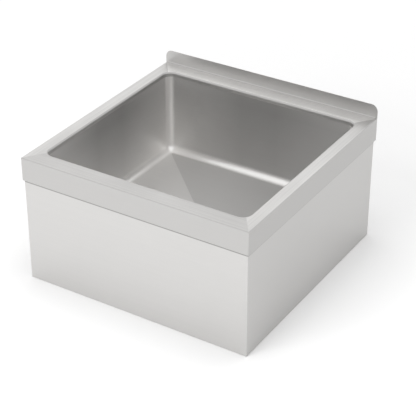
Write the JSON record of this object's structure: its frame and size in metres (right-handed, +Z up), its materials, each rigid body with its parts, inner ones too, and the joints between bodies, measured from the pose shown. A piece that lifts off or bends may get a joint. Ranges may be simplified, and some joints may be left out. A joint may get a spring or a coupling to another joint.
{
  "type": "mop service sink",
  "caption": "Floor-standing square mop service sink in welded sheet steel, with a mitred deck, low back splash, deep coved bowl, closed skirt and a drain with a lift-out basket.",
  "frame": {"origin": "middle of the square footprint, on the floor", "axes": "+Z is up, the front is -Y, the splash and the wall are at +Y, and +X is the right-hand side seen from the front"},
  "size_m": [0.6096, 0.6096, 0.3652],
  "materials": {
    "satin_steel": "satin, brushed along each sheet",
    "mill_steel": "dull mill finish",
    "drain_steel": "satin, turned",
    "bright_steel": "polished",
    "bright_tube": "plated",
    "zinc": "die-cast, matt",
    "black_rubber": "matt",
    "fibre": "pressed fibre, matt",
    "white_nylon": "matt"
  },
  "bodies": {
    "sink": {"bowl": "satin_steel", "deck_front": "satin_steel", "deck_left": "satin_steel", "deck_right": "satin_steel", "deck_rear": "satin_steel", "skirt_front": "satin_steel", "skirt_left": "satin_steel", "skirt_right": "satin_steel", "skirt_rear": "satin_steel", "upright_front_left": "mill_steel", "upright_front_right": "mill_steel", "upright_rear_left": "mill_steel", "upright_rear_right": "mill_steel", "strainer_body": "drain_steel", "drain_gasket": "black_rubber", "friction_washer": "fibre", "lock_nut": "zinc", "tailpiece": "bright_tube", "tailpiece_washer": "white_nylon", "coupling_nut": "zinc"},
    "basket": {"basket_cup": "drain_steel", "basket_stopper": "black_rubber", "basket_post": "bright_steel", "stem_nut": "zinc"}
  },
  "joints": [
    {"name": "basket_lift", "type": "slide", "parent": "sink", "child": "basket", "axis": [0, 0, 1], "range_m": [0, 0.33]}
  ]
}
